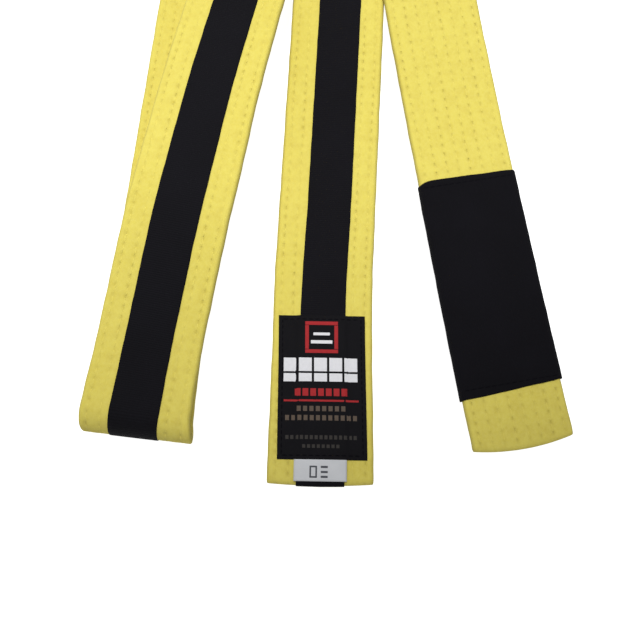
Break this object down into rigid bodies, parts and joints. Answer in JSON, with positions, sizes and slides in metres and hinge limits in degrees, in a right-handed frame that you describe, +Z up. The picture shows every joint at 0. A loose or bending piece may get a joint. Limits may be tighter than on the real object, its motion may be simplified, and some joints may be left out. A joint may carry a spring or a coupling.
{
  "type": "martial arts belt",
  "caption": "Quilted martial arts belt with a contrasting centre stripe, black rank bar sleeve, woven label and size tag, laid out in open zigzag folds.",
  "frame": {"origin": "on the table, under the centreline of the label leg, 284 mm from the belt's label end", "axes": "+Z up off the table, +Y away from the viewer along the belt, +X to the viewer's right"},
  "size_m": [0.1898, 0.9562, 0.03],
  "materials": {
    "yellow_cotton": "plain cotton twill, quilted",
    "natural_canvas": "unbleached cotton canvas",
    "black_ribbon": "ribbed black cotton tape",
    "yellow_thread": "yellow sewing thread",
    "black_thread": "black sewing thread",
    "black_cotton": "black cotton twill",
    "woven_label": "woven damask label with grey and red marks",
    "white_tape": "white woven tape"
  },
  "bodies": {
    "label_leg": {"core_label_leg": "natural_canvas", "cover_label_leg": "yellow_cotton", "stripe_label_leg": "black_ribbon", "thread_left_label_leg": "yellow_thread", "thread_right_label_leg": "yellow_thread"},
    "label_mid": {"core_label_mid": "natural_canvas", "cover_label_mid": "yellow_cotton", "stripe_label_mid": "black_ribbon", "thread_left_label_mid": "yellow_thread", "thread_right_label_mid": "yellow_thread"},
    "label_tip": {"core_label_tip": "natural_canvas", "cover_label_tip": "yellow_cotton", "maker_label": "woven_label", "maker_label_stitching": "black_thread", "stripe_label_tip": "black_ribbon", "thread_left_label_tip": "yellow_thread", "thread_right_label_tip": "yellow_thread"},
    "size_tag": {"size_tag": "white_tape"},
    "far_fold": {"core_far_fold": "natural_canvas", "cover_far_fold": "yellow_cotton", "stripe_far_fold": "black_ribbon"},
    "under_leg": {"core_under_leg": "natural_canvas", "cover_under_leg": "yellow_cotton", "stripe_under_leg": "black_ribbon", "thread_left_under_leg": "yellow_thread", "thread_right_under_leg": "yellow_thread"},
    "near_fold": {"core_near_fold": "natural_canvas", "cover_near_fold": "yellow_cotton", "stripe_near_fold": "black_ribbon"},
    "over_leg": {"core_over_leg": "natural_canvas", "cover_over_leg": "yellow_cotton", "stripe_over_leg": "black_ribbon", "thread_left_over_leg": "yellow_thread", "thread_right_over_leg": "yellow_thread"},
    "cross_fold": {"core_cross_fold": "natural_canvas", "cover_cross_fold": "yellow_cotton", "stripe_cross_fold": "black_ribbon"},
    "bar_leg": {"core_bar_leg": "natural_canvas", "cover_bar_leg": "yellow_cotton", "stripe_bar_leg": "black_ribbon", "thread_left_bar_leg": "yellow_thread", "thread_right_bar_leg": "yellow_thread"},
    "bar_mid": {"core_bar_mid": "natural_canvas", "cover_bar_mid": "yellow_cotton", "stripe_bar_mid": "black_ribbon", "thread_left_bar_mid": "yellow_thread", "thread_right_bar_mid": "yellow_thread"},
    "bar_tip": {"core_bar_tip": "natural_canvas", "cover_bar_tip": "yellow_cotton", "rank_bar": "black_cotton", "rank_bar_stitching_far": "black_thread", "rank_bar_stitching_tip": "black_thread", "stripe_bar_tip": "black_ribbon", "thread_left_bar_tip": "yellow_thread", "thread_right_bar_tip": "yellow_thread"}
  },
  "joints": [
    {"name": "label_tail_bend", "type": "hinge", "parent": "label_leg", "child": "label_mid", "pos_m": [-0.0073, -0.13583, 0.0051], "axis": [-0.9985, 0.0541, 0], "range_deg": [0, 45]},
    {"name": "label_tip_bend", "type": "hinge", "parent": "label_mid", "child": "label_tip", "pos_m": [-0.01049, -0.19574, 0.0051], "axis": [-0.999, 0.0447, 0], "range_deg": [0, 45]},
    {"name": "size_tag_flip", "type": "hinge", "parent": "label_tip", "child": "size_tag", "pos_m": [-0.01205, -0.27442, 0.00974], "axis": [-0.9999, 0.0162, 0], "range_deg": [0, 120]},
    {"name": "far_fold_open", "type": "hinge", "parent": "label_leg", "child": "far_fold", "pos_m": [0.03625, 0.66714, 0.00286], "axis": [-0.9925, 0.1219, 0], "range_deg": [0, 88]},
    {"name": "far_fold_open_second", "type": "hinge", "parent": "far_fold", "child": "under_leg", "pos_m": [0.03541, 0.66724, 0.01714], "axis": [-0.9925, 0.1219, 0], "range_deg": [0, 88]},
    {"name": "near_fold_open", "type": "hinge", "parent": "under_leg", "child": "near_fold", "pos_m": [-0.08343, -0.2642, 0.00286], "axis": [0.9907, -0.1361, 0], "range_deg": [0, 88]},
    {"name": "near_fold_open_second", "type": "hinge", "parent": "near_fold", "child": "over_leg", "pos_m": [-0.08315, -0.26423, 0.01714], "axis": [0.9907, -0.1361, 0], "range_deg": [0, 88]},
    {"name": "cross_fold_open", "type": "hinge", "parent": "over_leg", "child": "cross_fold", "pos_m": [-0.00032, 0.14301, 0.00747], "axis": [-0.9997, 0.0244, 0], "range_deg": [0, 88]},
    {"name": "cross_fold_open_second", "type": "hinge", "parent": "cross_fold", "child": "bar_leg", "pos_m": [0.00118, 0.14298, 0.01793], "axis": [-0.9997, 0.0244, 0], "range_deg": [0, 88]},
    {"name": "bar_tail_bend", "type": "hinge", "parent": "bar_leg", "child": "bar_mid", "pos_m": [0.037, -0.08608, 0.00844], "axis": [-0.9877, -0.1562, 0], "range_deg": [0, 45]},
    {"name": "bar_tip_bend", "type": "hinge", "parent": "bar_mid", "child": "bar_tip", "pos_m": [0.04641, -0.1452, 0.00661], "axis": [-0.9874, -0.1583, 0], "range_deg": [0, 45]}
  ],
  "couplings": [
    {"joint": "label_tip_bend", "follows": "label_tail_bend", "ratio": 1},
    {"joint": "far_fold_open_second", "follows": "far_fold_open", "ratio": 1},
    {"joint": "near_fold_open_second", "follows": "near_fold_open", "ratio": 1},
    {"joint": "cross_fold_open_second", "follows": "cross_fold_open", "ratio": 1},
    {"joint": "bar_tip_bend", "follows": "bar_tail_bend", "ratio": 1}
  ]
}
